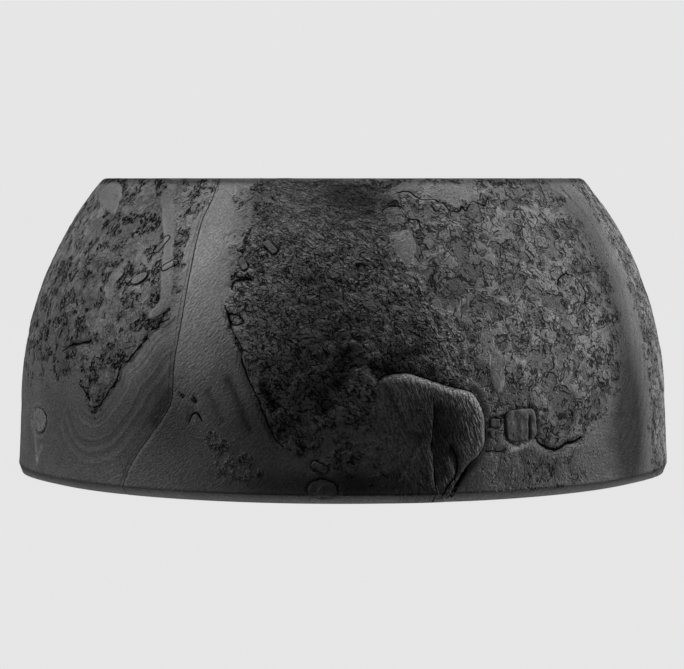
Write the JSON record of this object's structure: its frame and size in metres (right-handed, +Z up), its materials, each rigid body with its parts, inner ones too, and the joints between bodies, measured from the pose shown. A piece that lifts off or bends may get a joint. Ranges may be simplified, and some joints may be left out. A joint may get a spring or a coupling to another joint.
{
  "type": "basalt massage stone",
  "caption": "Flat-topped dome of dark basalt with a domed side, an upright foot, a chamfered base edge and mineral grains set flush in the side.",
  "frame": {"origin": "centre of the flat base, on the stone's axis", "axes": "+Z up along the stone's axis, from the base to the flat top; -Y is the front, which carries most of the mineral grains; +X is to the right as seen from the front"},
  "size_m": [0.08, 0.08, 0.0358],
  "materials": {
    "basalt": "fine-grained, honed, veined and lightly pitted",
    "clast": "honed, dark, dense",
    "amygdale": "smooth, pale warm grey",
    "crystal": "smooth, pale grey"
  },
  "bodies": {
    "root": {"stone_body": "basalt", "block_clast": "clast", "corner_chip": "clast", "edge_clast": "clast", "pale_amygdale": "amygdale", "crystal_leaf": "crystal", "crystal_lath": "crystal", "hook_crystal": "crystal", "foot_lath": "crystal"}
  },
  "joints": []
}
